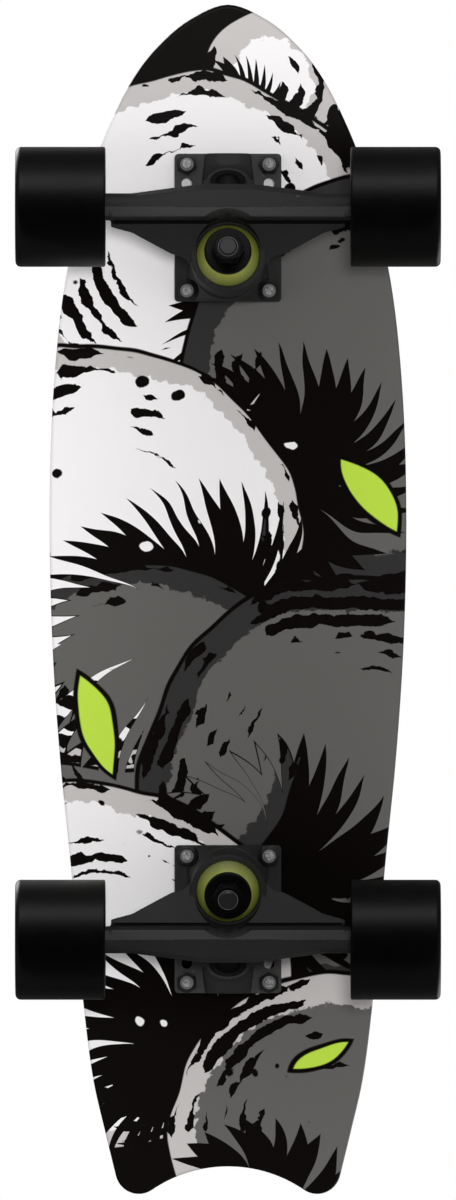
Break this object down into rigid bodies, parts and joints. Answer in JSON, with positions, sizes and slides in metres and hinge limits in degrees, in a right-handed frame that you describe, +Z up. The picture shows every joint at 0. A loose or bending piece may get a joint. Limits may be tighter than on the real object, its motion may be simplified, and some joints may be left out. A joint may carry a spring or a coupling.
{
  "type": "cruiser skateboard",
  "caption": "Short fish-shaped cruiser skateboard: kicked deck with a swallow tail, steering kingpin trucks with soft bushings, and wide free-rolling wheels.",
  "frame": {"origin": "on the ground under the middle of the board's bounding box", "axes": "+Z up, -Y towards the nose, +X to the left of a rider who looks towards the nose"},
  "size_m": [0.2126, 0.5999, 0.1261],
  "materials": {
    "deck_print": "satin",
    "grip": "matte",
    "riser": "matte",
    "truck_metal": "satin",
    "pivot_plastic": "satin",
    "steel": "satin",
    "black_hardware": "satin",
    "bushing_urethane": "satin",
    "wheel_urethane": "gloss"
  },
  "bodies": {
    "board": {"deck": "deck_print", "grip_tape": "grip", "front_riser_pad": "riser", "front_baseplate": "truck_metal", "front_pivot_cup": "pivot_plastic", "front_kingpin": "steel", "front_kingpin_nut": "black_hardware", "front_board_side_bushing": "bushing_urethane", "front_board_side_cup_washer": "black_hardware", "front_road_side_bushing": "bushing_urethane", "front_road_side_cup_washer": "black_hardware", "front_deck_bolt_1": "black_hardware", "front_deck_nut_1": "black_hardware", "front_deck_bolt_2": "black_hardware", "front_deck_nut_2": "black_hardware", "front_deck_bolt_3": "black_hardware", "front_deck_nut_3": "black_hardware", "front_deck_bolt_4": "black_hardware", "front_deck_nut_4": "black_hardware", "rear_riser_pad": "riser", "rear_baseplate": "truck_metal", "rear_pivot_cup": "pivot_plastic", "rear_kingpin": "steel", "rear_kingpin_nut": "black_hardware", "rear_board_side_bushing": "bushing_urethane", "rear_board_side_cup_washer": "black_hardware", "rear_road_side_bushing": "bushing_urethane", "rear_road_side_cup_washer": "black_hardware", "rear_deck_bolt_1": "black_hardware", "rear_deck_nut_1": "black_hardware", "rear_deck_bolt_2": "black_hardware", "rear_deck_nut_2": "black_hardware", "rear_deck_bolt_3": "black_hardware", "rear_deck_nut_3": "black_hardware", "rear_deck_bolt_4": "black_hardware", "rear_deck_nut_4": "black_hardware"},
    "front_truck": {"front_hanger": "truck_metal", "front_axle": "steel", "front_left_axle_nut": "black_hardware", "front_left_bearing_spacer": "steel", "front_right_axle_nut": "black_hardware", "front_right_bearing_spacer": "steel"},
    "rear_truck": {"rear_hanger": "truck_metal", "rear_axle": "steel", "rear_left_axle_nut": "black_hardware", "rear_left_bearing_spacer": "steel", "rear_right_axle_nut": "black_hardware", "rear_right_bearing_spacer": "steel"},
    "front_left_wheel": {"front_left_wheel": "wheel_urethane", "front_left_inner_bearing": "steel", "front_left_outer_bearing": "steel"},
    "front_right_wheel": {"front_right_wheel": "wheel_urethane", "front_right_inner_bearing": "steel", "front_right_outer_bearing": "steel"},
    "rear_left_wheel": {"rear_left_wheel": "wheel_urethane", "rear_left_inner_bearing": "steel", "rear_left_outer_bearing": "steel"},
    "rear_right_wheel": {"rear_right_wheel": "wheel_urethane", "rear_right_inner_bearing": "steel", "rear_right_outer_bearing": "steel"}
  },
  "joints": [
    {"name": "front_steering", "type": "hinge", "parent": "board", "child": "front_truck", "pos_m": [0, -0.171, 0.042], "axis": [0, 0.7986, -0.6018], "range_deg": [-15, 15], "stiffness_Nm_per_rad": 60, "deforming": ["front_board_side_bushing", "front_road_side_bushing"]},
    {"name": "rear_steering", "type": "hinge", "parent": "board", "child": "rear_truck", "pos_m": [0, 0.1443, 0.042], "axis": [0, 0.7986, 0.6018], "range_deg": [-15, 15], "stiffness_Nm_per_rad": 60, "deforming": ["rear_board_side_bushing", "rear_road_side_bushing"]},
    {"name": "front_left_wheel_spin", "type": "hinge", "parent": "front_truck", "child": "front_left_wheel", "pos_m": [0.08375, -0.1965, 0.03], "axis": [1, 0, 0], "continuous": true},
    {"name": "front_right_wheel_spin", "type": "hinge", "parent": "front_truck", "child": "front_right_wheel", "pos_m": [-0.08375, -0.1965, 0.03], "axis": [1, 0, 0], "continuous": true},
    {"name": "rear_left_wheel_spin", "type": "hinge", "parent": "rear_truck", "child": "rear_left_wheel", "pos_m": [0.08375, 0.1698, 0.03], "axis": [1, 0, 0], "continuous": true},
    {"name": "rear_right_wheel_spin", "type": "hinge", "parent": "rear_truck", "child": "rear_right_wheel", "pos_m": [-0.08375, 0.1698, 0.03], "axis": [1, 0, 0], "continuous": true}
  ]
}
